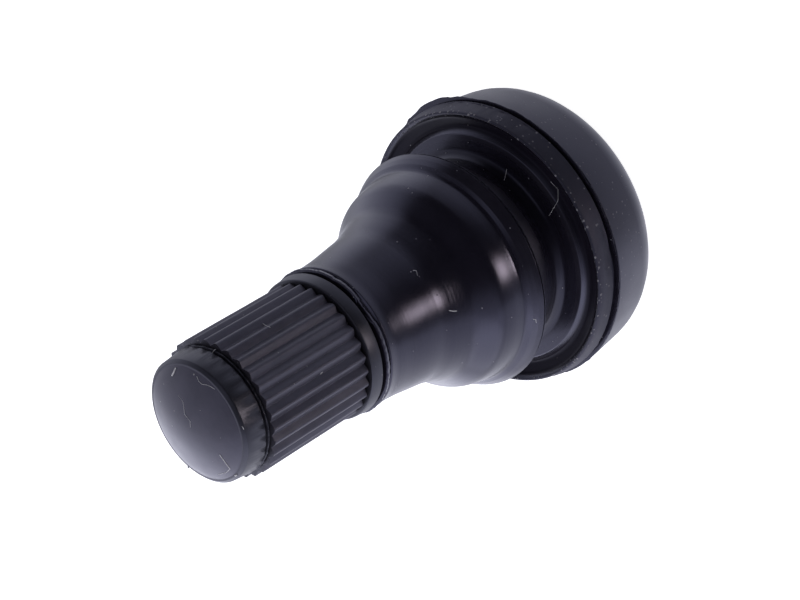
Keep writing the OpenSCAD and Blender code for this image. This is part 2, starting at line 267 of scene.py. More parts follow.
inside_corners = [
    (shank_out, rubber_end, 0),
    (shank_out, 11.1, 0),
    (anchor_out, 10.7, 0),
    (anchor_out, 9.8, 0),
    (shank_out, 9.4, 0),
    (shank_out, 7.4, 0.4),
    (4.4, 6.2, 0.25),
    (4.4, 5.0, 0.25),
    (1.6, 5.0, 0),
    (1.6, 1.0, 0),
    (2.6, 0, 0),
]
rubber_outline = rounded(foot_corners + parting_corners + dish_corners + bulge_corners + neck_corners
                         + torn_end_corners + inside_corners, steps=9)
rubber = turned("moulded_rubber_body", rubber_outline, steps=288)
print("rubber outline:", len(rubber_outline), "points")

# %% Ragged flash on the rubber
def reshape(piece, change):
    """Moves each vertex out from the axis by what change(radius, height, angle) gives, in mm."""
    for vertex in piece.data.vertices:
        x, y, z = vertex.co / mm
        out = math.hypot(x, y)
        if out < 0.01:
            continue
        angle = math.atan2(y, x)
        shift = change(out, z, angle)
        if shift:
            vertex.co.x += math.cos(angle) * shift * mm
            vertex.co.y += math.sin(angle) * shift * mm
    piece.data.update()


def hump(angle, centre, half):
    """1 at a place round the valve, easing to 0 at half degrees from it."""
    away = abs((math.degrees(angle) - centre + 180) % 360 - 180) / half
    return max(0.0, 1 - away * away) ** 2


tool_slip = 0.08
fin_limit = 0.26
torn_side = 166
dark_side = 34


def rubber_flash(out, height, angle):
    """How far each ring of the outline is pulled out of true, in mm: the seeds and scales are ragged's."""
    if height < nick_low + 0.01 and out > 6:
        return tool_slip * math.cos(angle) - 0.03
    if fin_low - 0.01 < height < fin_high + 0.01 and out > fin_out - 0.05:
        torn = 0.09 * ragged(angle, 1, 9) + 0.06 * ragged(angle, 2, 40)
        return min(fin_limit, 0.03 + 0.24 * hump(angle, torn_side, 24) + torn)
    if fin_high + 0.02 < height < nick_high - 0.06 and out < 9.8:
        return 0.07 * ragged(angle, 9, 7) - 0.06 * hump(angle, 30, 60)
    if nick_high - 0.06 < height < nick_top - 0.03 and out > 9.8:
        return -0.34 * hump(angle, dark_side, 42) * (0.8 + ragged(angle, 10, 12))
    if nick_top - 0.02 < height < nick_top + 0.03 and out > 9.8:
        nicks = min(0.0, ragged(angle, 11, 22) + 0.1) * 0.35
        return -0.24 * hump(angle, dark_side - 2, 46) + nicks * hump(angle, torn_side - 24, 40)
    if rubber_end - 0.3 < height < rubber_end - 0.04 and out > neck_end_out - 0.14:
        torn = 0.04 * ragged(angle, 3, 6) + 0.05 * ragged(angle, 4, 30)
        return 0.03 + torn - 0.16 * hump(angle, 92, 20)
    if lip_top - 0.15 < height < lip_top + 0.02 and out > 9.4:
        return 0.02 * ragged(angle, 5, 24) + 0.015 * ragged(angle, 6, 90)
    return 0


reshape(rubber, rubber_flash)
settle(rubber, "valve", "body_rubber", "rubber_body")

# %% [markdown]
# ## The brass stem and its thread
# The stem is turned brass with a foot moulded into the rubber. What shows, once the cap is off, is the cap
# thread, the bevelled mouth and the bore with the core in it. A bump map could fake the thread, but its edge
# would stay smooth, so a three-sided ridge is swept along a real helix with the Screw modifier and let into
# the stem at the bottom of the thread. Its two ends fade into the stem, as a cut thread does.

# %% Stem
pitch = 0.79375
thread_out = 3.85
thread_root = 3.38
tip = 31.8
stem = turned("brass_stem", rounded([
    (1.4, 5.0, 0),
    (4.4, 5.0, 0.25),
    (4.4, 6.2, 0.25),
    (shank_out, 7.4, 0.4),
    (shank_out, 9.4, 0),
    (anchor_out, 9.8, 0),
    (anchor_out, 10.7, 0),
    (shank_out, 11.1, 0),
    (shank_out, 22.3, 0.05),
    (thread_root, 22.45, 0.05),
    (thread_root, 31.75, 0.05),
    (3.3, tip, 0.05),
    (2.92, tip, 0.06),
    (2.62, 31.5, 0.05),
    (2.62, 23.65, 0),
    (2.42, 23.65, 0),
    (1.95, 21.85, 0),
    (1.95, 12.6, 0),
    (1.4, 12.05, 0),
    (1.4, 5.0, 0),
], steps=4), steps=128)
thread_low = 22.7
thread_turns = 11
ridge = screwed("cap_thread", [
    Vector((thread_root - 0.08, thread_low - 0.30)),
    Vector((thread_out - 0.03, thread_low - 0.045)),
    Vector((thread_out, thread_low - 0.02)),
    Vector((thread_out, thread_low + 0.02)),
    Vector((thread_out - 0.03, thread_low + 0.045)),
    Vector((thread_root - 0.08, thread_low + 0.30)),
], pitch, thread_turns)


def fade_thread(piece, low, high, run, sink):
    """Sinks the two ends of a thread towards the wall that it stands on."""
    for vertex in piece.data.vertices:
        x, y, z = vertex.co / mm
        out, angle = math.hypot(x, y), math.atan2(y, x) % TURN
        along = min(z - low, high - z)
        share = max(0.0, 1 - max(along, 0) / run)
        target = out + (sink - out) * share
        vertex.co.x, vertex.co.y = math.cos(angle) * target * mm, math.sin(angle) * target * mm
    piece.data.update()


fade_thread(ridge, thread_low - 0.3, tip - 0.05, 0.55, thread_root - 0.1)
join(stem, ridge)
settle(stem, "valve", "stem_brass", "stem_insert")

# %% [markdown]
# ## The ribbed cap
# The cap is moulded plastic: a plain collar at its open end, thirty V ribs for the fingers, a thin ring of
# flash in a groove where the tool closed, a smooth end, a bead round its rim and a shallow dome. It is spun from
# one outline, inside and out, with many steps, and the barrel is then pulled into ribs: a vertex moves out or in
# by how far it lies from the nearest crest. Making the ribs this way keeps one closed skin, with no joins to hide.
# A small cone on the rim is the nub that is left where the plastic ran in.

# %% Cap outline
cap_low = 22.42
collar_top = 23.34
rib_top = 31.57
barrel = 4.29
rib_depth = 0.28
ribs = 30
dome_edge = 33.4
dome_high = 1.0
edge_out = 4.0
dome_radius = (edge_out ** 2 + dome_high ** 2) / (2 * dome_high)
dome_arc = math.asin(edge_out / dome_radius)
dome_rows = 14
bead_rows = 2
dome = []
for k in range(bead_rows, dome_rows + 1):
    lean = dome_arc * (1 - k / dome_rows)
    drop = dome_radius * (1 - math.cos(lean))
    dome.append((dome_radius * math.sin(lean), dome_edge + dome_high - drop, 0))
rib_start = 0.12
rib_rows = [(barrel, collar_top + rib_start + (rib_top - rib_start - collar_top) * k / 12, 0) for k in range(13)]
collar_groove = 4.14
bore_out = 3.93
flash_groove = 4.04
flash_out = 4.20
roof = 32.5
roof_out = 3.43
cap_outline = rounded([
    (0, roof, 0),
    (roof_out, roof, 0.08),
    (roof_out, tip, 0),
    (bore_out, 31.3, 0),
    (bore_out, 22.77, 0.05),
    (4.24, 22.44, 0.05),
    (4.85, cap_low, 0.1),
    (4.77, collar_top, 0.09),
    (collar_groove, collar_top, 0),
    (collar_groove, collar_top + 0.1, 0),
    *rib_rows,
    (4.10, rib_top + 0.01, 0),
    (4.05, rib_top + 0.09, 0),
    (flash_out, rib_top + 0.12, 0.01),
    (flash_out, rib_top + 0.19, 0.01),
    (flash_groove, rib_top + 0.23, 0),
    (flash_groove, rib_top + 0.33, 0),
    (flash_out, rib_top + 0.38, 0.03),
    (4.19, rib_top + 0.46, 0),
    (edge_out + 0.06, dome_edge - 0.10, 0.10),
    (edge_out - 0.14, dome_edge + 0.08, 0.08),
    (edge_out - 0.27, dome_edge + 0.09, 0.05),
    *dome,
], steps=5)
cap = turned("ribbed_cap", cap_outline, steps=ribs * 24)
print("cap outline:", len(cap_outline), "points")

# %% Nub on the cap's rim
quarter = math.radians(90)
nub_at = math.radians(-67)
nub_high = 33.22
nub_length = 0.6
nub_foot = Vector((math.cos(nub_at) * edge_out, math.sin(nub_at) * edge_out, nub_high)) * mm
pick_none()
bpy.ops.mesh.primitive_cone_add(vertices=8, radius1=0.12 * mm, radius2=0.05 * mm, depth=nub_length * mm,
                                location=nub_foot, rotation=(quarter, 0, nub_at + quarter))
nub = bpy.context.object
bpy.ops.object.transform_apply(location=True, rotation=True, scale=True)
join(cap, nub)
print("nub:", [round(v / mm, 2) for v in nub_foot], "mm")

# %% Ribs and flash on the cap
rib_pitch = TURN / ribs
crest_half = 0.13
crest_soft = 0.12


def rib_shape(angle):
    """0 in a valley and 1 along a crest, with the crest's two edges softened."""
    away = abs((angle / rib_pitch + 0.5) % 1 - 0.5) * 2
    flank = (1 - away) / (1 - crest_half)
    over = flank - 1 + crest_soft
    if over > 0:
        flank -= over * over / (4 * crest_soft) if over < 2 * crest_soft else over - crest_soft
    return min(flank, 1)


def cap_flash(out, height, angle):
    """Ribs on the barrel, a ragged ring of flash above them and a scalloped edge above that."""
    shape = rib_shape(angle)
    if collar_top - 0.001 <= height <= rib_top + 0.001 and abs(out - barrel) < 0.03:
        return rib_depth * shape + 0.006 * ragged(angle, height * 0.4, 30)
    if rib_top + 0.11 < height < rib_top + 0.20 and out > 4.1:
        return 0.03 * shape - 0.02 + 0.05 * ragged(angle, 7, 12) + 0.03 * ragged(angle, 8, 50)
    if rib_top + 0.34 < height < rib_top + 0.43 and out > 4.1:
        return 0.05 * shape - 0.06 + 0.03 * ragged(angle, 12, 40)
    return 0


reshape(cap, cap_flash)
print("ribs:", ribs, "of", rib_depth, "mm")

# %% [markdown]
# ## Inside the cap
# The cap's own thread is a ridge too, set half a turn's pitch away from the stem's, so that it runs in the
# stem's groove. The cap lifts by one pitch for each turn, so the two ridges never meet. A rubber seal sits in
# the cap's roof.

# %% Cap thread and seal
cap_thread_in = 3.52
cap_thread_out = 3.99
cap_thread_turns = 9
cap_thread_low = 23.35 + 0.5 * pitch
cap_thread_low += (thread_low + 0.5 * pitch - cap_thread_low) % pitch
inner_ridge = screwed("cap_inner_thread", [
    Vector((cap_thread_out, cap_thread_low - 0.2)),
    Vector((cap_thread_out, cap_thread_low + 0.2)),
    Vector((cap_thread_in, cap_thread_low + 0.05)),
    Vector((cap_thread_in, cap_thread_low - 0.05)),
], pitch, cap_thread_turns)
cap_thread_high = cap_thread_low + 0.2 + cap_thread_turns * pitch
fade_thread(inner_ridge, cap_thread_low - 0.2, cap_thread_high, 0.6, cap_thread_out)
join(cap, inner_ridge)
settle(cap, "turning_cap", "cap_plastic", "cap")
seal_in, seal_out = 1.1, 3.35
seal = turned("cap_seal_ring", rounded([
    (seal_in, (tip + roof) / 2, 0),
    (seal_in, tip, 0.08),
    (seal_out, tip, 0.08),
    (seal_out, roof, 0.06),
    (seal_in, roof, 0.08),
    (seal_in, (tip + roof) / 2, 0),
], steps=4), steps=96)
settle(seal, "lifting_seal", "seal_rubber", "cap_seal")

# %% [markdown]
# ## The valve core
# Inside the stem a threaded plug with a bridge guides a steel pin, and a barrel below it holds the spring and
# a tapered gasket. The pin carries a cup with its own gasket, which shuts the barrel's end. The plug, barrel,
# pin and cup are already right as solids and only need a finish, but the plug's edges show from above, so a
# merged copy of it gets a small bevel. The two soft gaskets are turned again with rounded corners.

# %% Plug with softened edges
plug_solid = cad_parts["core_swivel"]
plug = plug_solid.copy()
plug.data = plug_solid.data.copy()
plug.parent = None
plug.matrix_world = Matrix.Identity(4)
plug.name = plug.data.name = "core_plug"
for key in [k for k in plug.keys() if k.startswith("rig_")]:
    del plug[key]
bpy.context.collection.objects.link(plug)
pick(plug)
bpy.ops.object.mode_set(mode="EDIT")
bpy.ops.mesh.select_all(action="SELECT")
bpy.ops.mesh.remove_doubles(threshold=0.001 * mm)
bpy.ops.mesh.dissolve_limited(angle_limit=math.radians(1))
bpy.ops.object.mode_set(mode="OBJECT")
soften = plug.modifiers.new("soften", "BEVEL")
soften.width = 0.06 * mm
soften.segments = 2
soften.limit_method = "ANGLE"
soften.angle_limit = math.radians(50)
bpy.ops.object.modifier_apply(modifier=soften.name)
bpy.ops.object.shade_smooth_by_angle(angle=math.radians(35))
settle(plug, "valve", "core_brass", "core_swivel")

# %% Gaskets
gasket_in = 1.43
taper_low, taper_high = 21.85, 23.65
barrel_gasket = turned("barrel_gasket_ring", rounded([
    (gasket_in, 22.8, 0),
    (gasket_in, taper_low, 0.08),
    (1.92, taper_low, 0.1),
    (2.39, taper_high, 0.1),
    (gasket_in, taper_high, 0.08),
    (gasket_in, 22.8, 0),
], steps=4), steps=96)
settle(barrel_gasket, "valve", "gasket_plastic", "barrel_gasket")
cup_low, cup_high = (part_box("cup_gasket")[i].z / mm for i in (0, 1))
cup_in, cup_out = 0.53, 1.34
cup_gasket = turned("cup_gasket_ring", rounded([
    (cup_in, (cup_low + cup_high) / 2, 0),
    (cup_in, cup_low, 0.05),
    (cup_out, cup_low, 0.05),
    (cup_out, cup_high, 0.12),
    (cup_in, cup_high, 0.05),
    (cup_in, (cup_low + cup_high) / 2, 0),
], steps=4), steps=64)
settle(cup_gasket, "sliding_pin", "seal_rubber", "cup_gasket")

# %% [markdown]
# ## The core spring
# A circle of wire swept by the Screw modifier makes an even coil. A real compression spring has a closed turn
# at each end, so the coil's heights are then eased: slow over the first and last turn and even between them.

# %% Spring
spring_low, spring_high = (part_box("core_spring")[i].z / mm for i in (0, 1))
wire = 0.13
coil = 0.775
spring_turns = 9
wire_sides = 12
wire_ring = []
for k in range(wire_sides):
    round_wire = TURN * k / wire_sides
    wire_ring.append(Vector((coil + wire * math.cos(round_wire), wire * math.sin(round_wire))))
spring = screwed("core_coil_spring", wire_ring, 1.0, spring_turns, steps=36)
closed = 1.08 * 2 * wire
run = spring_high - spring_low - 2 * wire
open_rise = (run - 2 * closed) / (spring_turns - 2)


def eased(turns):
    """The height at a count of turns, in mm above the spring's first turn."""
    if turns < 1:
        return closed * turns
    if turns > spring_turns - 1:
        return run - closed * (spring_turns - turns)
    return closed + open_rise * (turns - 1)


for vertex in spring.data.vertices:
    x, y, z = vertex.co / mm
    part = (math.atan2(y, x) % TURN) / TURN
    turns = round(z - part) + part
    vertex.co.z = (spring_low + wire + eased(turns) + z - turns) * mm
spring.data.update()
settle(spring, "valve", "pin_steel", "core_spring")
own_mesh(spring)

# %% [markdown]
# ## Shared finishes
# Four effects turn up in more than one material, so each is a node group with named sockets: fine marks that
# run round the axis, as a turned tool or a lathe leaves them; a soft mottle; specks of dust; and a zone, which is
# 1 between two heights and two radii. Painted masks could do the zones' work, but a turned part is simpler to mask
# by its own measures. All read Object coordinates in metres, so their scales are counts per metre.

# %% Node helpers
def group(name, inputs, outputs):
    """A new node group with its inputs and its number outputs."""
    tree = bpy.data.node_groups.new(name, "ShaderNodeTree")
    for label, kind, value in inputs:
        socket = tree.interface.new_socket(label, in_out="INPUT", socket_type="NodeSocket" + kind)
        if value is not None:
            socket.default_value = value
    for label in outputs:
        tree.interface.new_socket(label, in_out="OUTPUT", socket_type="NodeSocketFloat")
    return tree, tree.nodes.new("NodeGroupInput"), tree.nodes.new("NodeGroupOutput")


def add(tree, kind, links=(), **values):
    """A node of a kind, with settings or socket values by name, and links into its sockets."""
    node = tree.nodes.new("ShaderNode" + kind)
    for key, value in values.items():
        setattr(node, key, value)
    for socket, source in dict(links).items():
        if isinstance(source, bpy.types.NodeSocket):
            tree.links.new(source, node.inputs[socket])
        else:
            node.inputs[socket].default_value = source
    return node


def sum_of(tree, a, b):
    return add(tree, "Math", {0: a, 1: b}, operation="ADD").outputs[0]


def times(tree, a, b):
    return add(tree, "Math", {0: a, 1: b}, operation="MULTIPLY").outputs[0]


def larger(tree, a, b):
    return add(tree, "Math", {0: a, 1: b}, operation="MAXIMUM").outputs[0]


def blend(tree, *shares):
    """The sum of some masks, each with its share."""
    total = None
    for mask, share in shares:
        part = times(tree, mask, share)
        total = part if total is None else sum_of(tree, total, part)
    return total


# %% Turning marks
marks, given, result = group("turning_marks", [("Vector", "Vector", None), ("Fineness", "Float", 9000.0)],
                             ["Height"])
parts = add(marks, "SeparateXYZ", {0: given.outputs["Vector"]})
slow = add(marks, "VectorMath", {0: given.outputs["Vector"], 1: (160, 160, 0)}, operation="MULTIPLY")
fine = times(marks, parts.outputs["Z"], given.outputs["Fineness"])
lift = add(marks, "CombineXYZ", {"Z": fine})
ring = add(marks, "VectorMath", {0: slow.outputs[0], 1: lift.outputs[0]}, operation="ADD")
streak = add(marks, "TexNoise", {"Vector": ring.outputs[0], "Scale": 1.0, "Detail": 3.0, "Roughness": 0.6})
marks.links.new(streak.outputs[0], result.inputs["Height"])
print("group:", marks.name)

# %% Mottle and dust
mottle, given, result = group("mottle", [("Vector", "Vector", None), ("Scale", "Float", 500.0)], ["Value"])
cloud = add(mottle, "TexNoise", {"Vector": given.outputs["Vector"], "Scale": given.outputs["Scale"],
                                 "Detail": 4.0, "Roughness": 0.55})
mottle.links.new(cloud.outputs[0], result.inputs["Value"])

dust, given, result = group("dust_specks", [("Vector", "Vector", None), ("Scale", "Float", 900.0),
                                            ("Size", "Float", 0.08)], ["Mask"])
cells = add(dust, "TexVoronoi", {"Vector": given.outputs["Vector"], "Scale": given.outputs["Scale"]})
colour = add(dust, "SeparateColor", {0: cells.outputs["Color"]})
reach = times(dust, colour.outputs[0], given.outputs["Size"])
speck = add(dust, "MapRange", {0: cells.outputs["Distance"], 1: reach, 2: times(dust, reach, 0.6),
                               3: 0.0, 4: 1.0})
kept = add(dust, "Math", {0: colour.outputs[1], 1: 0.45}, operation="GREATER_THAN")
dust.links.new(times(dust, speck.outputs[0], kept.outputs[0]), result.inputs["Mask"])
print("groups:", mottle.name, dust.name)

# %% Zones
zone, given, result = group("zone", [("Vector", "Vector", None), ("Low", "Float", 0.0), ("High", "Float", 0.01),
                                     ("Inner", "Float", 0.0), ("Outer", "Float", 0.02),
                                     ("Soft", "Float", 0.0002)], ["Mask"])
parts = add(zone, "SeparateXYZ", {0: given.outputs["Vector"]})
flat = add(zone, "VectorMath", {0: given.outputs["Vector"], 1: (1, 1, 0)}, operation="MULTIPLY")
out = add(zone, "VectorMath", {0: flat.outputs[0]}, operation="LENGTH").outputs["Value"]
soft_edge = given.outputs["Soft"]


def past(value, limit, first, last):
    """Eases from first to last as a value passes a limit, over the zone's soft edge."""
    start = add(zone, "Math", {0: limit, 1: soft_edge}, operation="SUBTRACT").outputs[0]
    end = sum_of(zone, limit, soft_edge)
    return add(zone, "MapRange", {0: value, 1: start, 2: end, 3: first, 4: last}).outputs[0]


tall = times(zone, past(parts.outputs["Z"], given.outputs["Low"], 0.0, 1.0),
             past(parts.outputs["Z"], given.outputs["High"], 1.0, 0.0))
wide = times(zone, past(out, given.outputs["Inner"], 0.0, 1.0), past(out, given.outputs["Outer"], 1.0, 0.0))
zone.links.new(times(zone, tall, wide), result.inputs["Mask"])
print("group:", zone.name)


# %% Material helpers
def use(tree, shared, **links):
    """A shared group in a tree, with its sockets linked or set: gives its output."""
    node = tree.nodes.new("ShaderNodeGroup")
    node.node_tree = shared
    for socket, source in links.items():
        if isinstance(source, bpy.types.NodeSocket):
            tree.links.new(source, node.inputs[socket])
        else:
            node.inputs[socket].default_value = source
    return node.outputs[0]


def within(tree, place, low, high, inner, outer, edge):
    """A zone's mask from its heights, radii and soft edge in mm."""
    return use(tree, zone, Vector=place, Low=low * mm, High=high * mm, Inner=inner * mm, Outer=outer * mm,
               Soft=edge * mm)


def material(name):
    """A new material: its tree, its Principled shader and the Object coordinates."""
    made = bpy.data.materials.new(name)
    made.use_nodes = True
    tree = made.node_tree
    shader = tree.nodes["Principled BSDF"]
    place = tree.nodes.new("ShaderNodeTexCoord").outputs["Object"]
    return made, tree, shader, place


def tinted(tree, mask, low, high):
    """A mix from one colour to another by a mask."""
    mix = add(tree, "Mix", {"Factor": mask}, data_type="RGBA")
    mix.inputs[6].default_value, mix.inputs[7].default_value = (*low, 1), (*high, 1)
    return mix


def over(tree, below, mask, colour):
    """A colour laid over a mix where a mask is 1."""
    mix = tinted(tree, mask, (0, 0, 0), colour)
    tree.links.new(below.outputs[2], mix.inputs[6])
    return mix


def ranged(tree, value, low, high, to_low, to_high):
    """A value carried from one range to another."""
    return add(tree, "MapRange", {0: value, 1: low, 2: high, 3: to_low, 4: to_high}).outputs[0]


def bumped(tree, shader, height, distance):
    """Bump on a shader from a height."""
    bump = add(tree, "Bump", {"Height": height, "Distance": distance, "Strength": 1.0})
    tree.links.new(bump.outputs[0], shader.inputs["Normal"])


# %% [markdown]
# ## Rubber
# Moulded rubber of this kind is nearly black, a touch blue, and semi-glossy: the tool's polish shows on it as
# fine rings. Gloss wanders a little over the surface, and dust clings to it as pale specks. One even finish would
# look like paint, so zones set its parts apart: the foot is duller than the neck, a film of dust lies in the rim
# groove and thinly on the flange, the flange and foot are scuffed, and specks gather on the lip. The same grey is
# painted on the ridge and the bevel as painted light, for the light they catch. The dish behind the lip and the
# groove's lower corner get painted shade: their specular level is cut, so they read dark as shaded recesses.

# %% Rubber zones
body_rubber, tree, shader, place = material("body_rubber")
cloudy = use(tree, mottle, Vector=place, Scale=420.0)
base = within(tree, place, -1, 5.5, 0, 30, 0.1)
flange = within(tree, place, 5.7, 7.25, 9.5, 11, 0.1)
lip_edge = within(tree, place, 7.0, 7.4, 9.25, 9.8, 0.1)
# Painted shade: masks for the dish behind the lip and the groove's lower corner, recesses where shade falls.
shaded_dish = within(tree, place, 6.45, 7.0, 8.3, 9.4, 0.08)
# Painted highlight: the ridge's crest takes part of the grey film for the light it catches.
crest = within(tree, place, 6.92, 7.2, 7.7, 8.2, 0.08)
corner = within(tree, place, 7.05, 8.0, 6, 7.2, 0.15)
groove = within(tree, place, 8.5, 10.6, 5, 7.0, 0.3)
# Painted light: the bevelled band takes part of the grey film for the light it catches.
bevel_painted_light = within(tree, place, 11.0, 11.75, 7.4, 9, 0.1)
print("rubber zones:", sum(n.type == "GROUP" and n.node_tree == zone for n in tree.nodes))

# %% Rubber colour
rubber_low, rubber_high = (0.0105, 0.0088, 0.0145), (0.0155, 0.0134, 0.0210)
film_and_painted_light_grey, rubber_dust = (0.044, 0.041, 0.051), (0.30, 0.29, 0.30)
specks = use(tree, dust, Vector=place, Scale=1900.0, Size=0.12)
lip_specks = times(tree, use(tree, dust, Vector=place, Scale=4800.0, Size=0.6), lip_edge)
worn = blend(tree, (flange, 0.55), (base, 0.30))
scuffs = times(tree, use(tree, dust, Vector=place, Scale=3000.0, Size=0.30), worn)
specks = larger(tree, larger(tree, specks, lip_specks), scuffs)
# Dust film in the rim groove and thinly on the flange; on the ridge and the bevel the same grey is painted light.
film_and_painted_light_mask = blend(tree, (groove, 1.0), (flange, 0.10), (crest, 0.35), (bevel_painted_light, 0.22))
film_and_painted_light = times(tree, film_and_painted_light_mask, ranged(tree, cloudy, 0.35, 0.65, 0.6, 1.0))
filmed = over(tree, tinted(tree, cloudy, rubber_low, rubber_high), film_and_painted_light, film_and_painted_light_grey)
dusty = over(tree, filmed, specks, rubber_dust)
tree.links.new(dusty.outputs[2], shader.inputs["Base Color"])
print("rubber film:", film_and_painted_light_grey)

# %% Rubber gloss
finish_depth = 0.006 * mm
grain = use(tree, mottle, Vector=place, Scale=26000.0)
rings = use(tree, marks, Vector=place, Fineness=7000.0)
gloss = ranged(tree, cloudy, 0.3, 0.7, 0.18, 0.26)
dull = blend(tree, (base, 0.12), (flange, 0.36), (groove, 0.216), (specks, 0.4))
tree.links.new(sum_of(tree, gloss, dull), shader.inputs["Roughness"])
polished = ranged(tree, base, 0.0, 1.0, 1.0, 0.2)
relief = sum_of(tree, times(tree, rings, polished), blend(tree, (grain, 0.3), (specks, 3.0)))
bumped(tree, shader, relief, finish_depth)
# Painted shade: the specular level drops towards nothing in those two recesses, so they read dark.
painted_shade = blend(tree, (shaded_dish, 0.85), (corner, 0.5))
tree.links.new(ranged(tree, painted_shade, 0.0, 1.0, 0.5, 0.0), shader.inputs["Specular IOR Level"])
shader.inputs["IOR"].default_value = 1.6
shader.inputs["Specular Tint"].default_value = (0.70, 0.71, 1.0, 1)
print("material:", body_rubber.name)

# %% [markdown]
# ## Cap plastic
# The cap's plastic is a satin black, rougher than the rubber, with a faint grain. The ribs and the dome get a
# lighter grey than the collar and the smooth end between them: painted light, for the light they catch. It is
# colour, not gloss, so it is mixed over the black in those two zones.

# %% Cap material
cap_plastic, tree, shader, place = material("cap_plastic")
cap_low_black, cap_high_black = (0.0125, 0.0119, 0.0150), (0.0185, 0.0177, 0.0215)
cap_painted_light_grey, cap_dust = (0.064, 0.059, 0.078), (0.34, 0.33, 0.33)
cloudy = use(tree, mottle, Vector=place, Scale=700.0)
grain = use(tree, mottle, Vector=place, Scale=18000.0)
specks = use(tree, dust, Vector=place, Scale=1800.0, Size=0.12)
ribbed = within(tree, place, 23.4, 31.55, 4.1, 6, 0.05)
domed = within(tree, place, dome_edge, 40, -1, 3.8, 0.1)
# Painted light: a lighter grey, mottled, on the ribs and the dome.
painted_light_on_ribs_and_dome = times(tree, sum_of(tree, ribbed, domed), ranged(tree, cloudy, 0.35, 0.65, 0.7, 1.0))
painted_light_over_black = over(tree, tinted(tree, cloudy, cap_low_black, cap_high_black), painted_light_on_ribs_and_dome, cap_painted_light_grey)
dusty = over(tree, painted_light_over_black, specks, cap_dust)
tree.links.new(dusty.outputs[2], shader.inputs["Base Color"])
gloss = ranged(tree, cloudy, 0.3, 0.7, 0.32, 0.42)
tree.links.new(sum_of(tree, gloss, times(tree, specks, 0.4)), shader.inputs["Roughness"])
bumped(tree, shader, blend(tree, (grain, 0.5), (specks, 3.0)), finish_depth)
shader.inputs["IOR"].default_value = 1.58
shader.inputs["Specular Tint"].default_value = (0.74, 0.76, 1.0, 1)
print("material:", cap_plastic.name)

# %% [markdown]
# ## Brass, steel and the small seals
# The metals are turned or drawn, so they carry the ring marks, and brass dulls in patches. The seals are matt
# rubber with a grain, and the barrel's gasket is a smooth red plastic.

# %% Metal and seal materials
turned_depth = 0.008 * mm
matt_depth = 0.01 * mm


def metal(name, low, high, gloss_low, gloss_high, fineness):
    """A metal with turning marks, mottled between two colours."""
    made, tree, shader, place = material(name)
    cloudy = use(tree, mottle, Vector=place, Scale=900.0)
    rings = use(tree, marks, Vector=place, Fineness=fineness)
    tree.links.new(tinted(tree, cloudy, low, high).outputs[2], shader.inputs["Base Color"])
    tree.links.new(ranged(tree, cloudy, 0.3, 0.7, gloss_low, gloss_high), shader.inputs["Roughness"])
    bumped(tree, shader, rings, turned_depth)
    shader.inputs["Metallic"].default_value = 1.0
    return made


def soft(name, low, high, rough_low, rough_high):
    """A soft plain material with a grain, mottled between two colours."""
    made, tree, shader, place = material(name)
    cloudy = use(tree, mottle, Vector=place, Scale=1500.0)
    grain = use(tree, mottle, Vector=place, Scale=20000.0)
    tree.links.new(tinted(tree, cloudy, low, high).outputs[2], shader.inputs["Base Color"])
    tree.links.new(ranged(tree, cloudy, 0.3, 0.7, rough_low, rough_high), shader.inputs["Roughness"])
    bumped(tree, shader, grain, matt_depth)
    return made


stem_brass = metal("stem_brass", (0.58, 0.40, 0.15), (0.78, 0.58, 0.26), 0.22, 0.36, 16000.0)
core_brass = metal("core_brass", (0.62, 0.44, 0.18), (0.80, 0.62, 0.30), 0.20, 0.34, 20000.0)
pin_steel = metal("pin_steel", (0.48, 0.48, 0.50), (0.64, 0.64, 0.66), 0.22, 0.34, 12000.0)
seal_rubber = soft("seal_rubber", (0.016, 0.016, 0.016), (0.030, 0.030, 0.030), 0.5, 0.65)
gasket_plastic = soft("gasket_plastic", (0.42, 0.05, 0.035), (0.55, 0.09, 0.06), 0.3, 0.42)
print("materials:", [m.name for m in (stem_brass, core_brass, pin_steel, seal_rubber, gasket_plastic)])


# %% Finishes on the pieces
def coat(piece, made):
    """Gives a piece one material."""
    piece.data.materials.clear()
    piece.data.materials.append(made)


for piece, made in ((rubber, body_rubber), (stem, stem_brass), (cap, cap_plastic), (seal, seal_rubber),
                    (plug, core_brass), (barrel_gasket, gasket_plastic), (cup_gasket, seal_rubber),
                    (spring, pin_steel)):
    coat(piece, made)
for node in ("core_barrel", "core_cup", "core_pin"):
    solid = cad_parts[node]
    made = pin_steel if node == "core_pin" else core_brass
    for slot in solid.material_slots:
        slot.link = "OBJECT"
        slot.material = made
    print(f"{node}: {made.name}")

# %% [markdown]
# ## Camera
# The camera was found by fitting the valve's turned outline to the photograph. It stands above and beside the
# valve, rolled so that the cap points down and to the left.

# %% Camera
eye = Vector((10.219, 109.719, 105.202)) * mm
right = Vector((0.56727, 0.48910, -0.66256))
above = Vector((-0.82041, 0.40561, -0.40300))
behind = right.cross(above)
lens = bpy.data.cameras.new("photo_camera")
lens.lens = 100
lens.sensor_width = 36
lens.clip_start, lens.clip_end = 0.005, 20
camera = bpy.data.objects.new("photo_camera", lens)
bpy.context.collection.objects.link(camera)
camera.matrix_world = Matrix.Translation(eye) @ Matrix((right, above, behind)).transposed().to_4x4()
bpy.context.scene.camera = camera
frame_w, frame_h = 800, 600
focal = lens.lens / lens.sensor_width * frame_w
print("focal length:", round(focal), "pixels")


def sight(x, y):
    """The direction from the eye through a pixel of the 800 by 600 picture."""
    return (right * (x + 0.5 - frame_w / 2) - above * (y + 0.5 - frame_h / 2) - behind * focal).normalized()


# %% [markdown]
# ## Lint
# Short fibres cling to the rubber and the cap. Each one is a few points seen in the picture: a ray from the
# camera through each point finds the skin that the fibre lies on, the line is pulled taut over any hollow, and a
# thin bevelled curve along it is made a mesh, so it stays on its piece from every side.

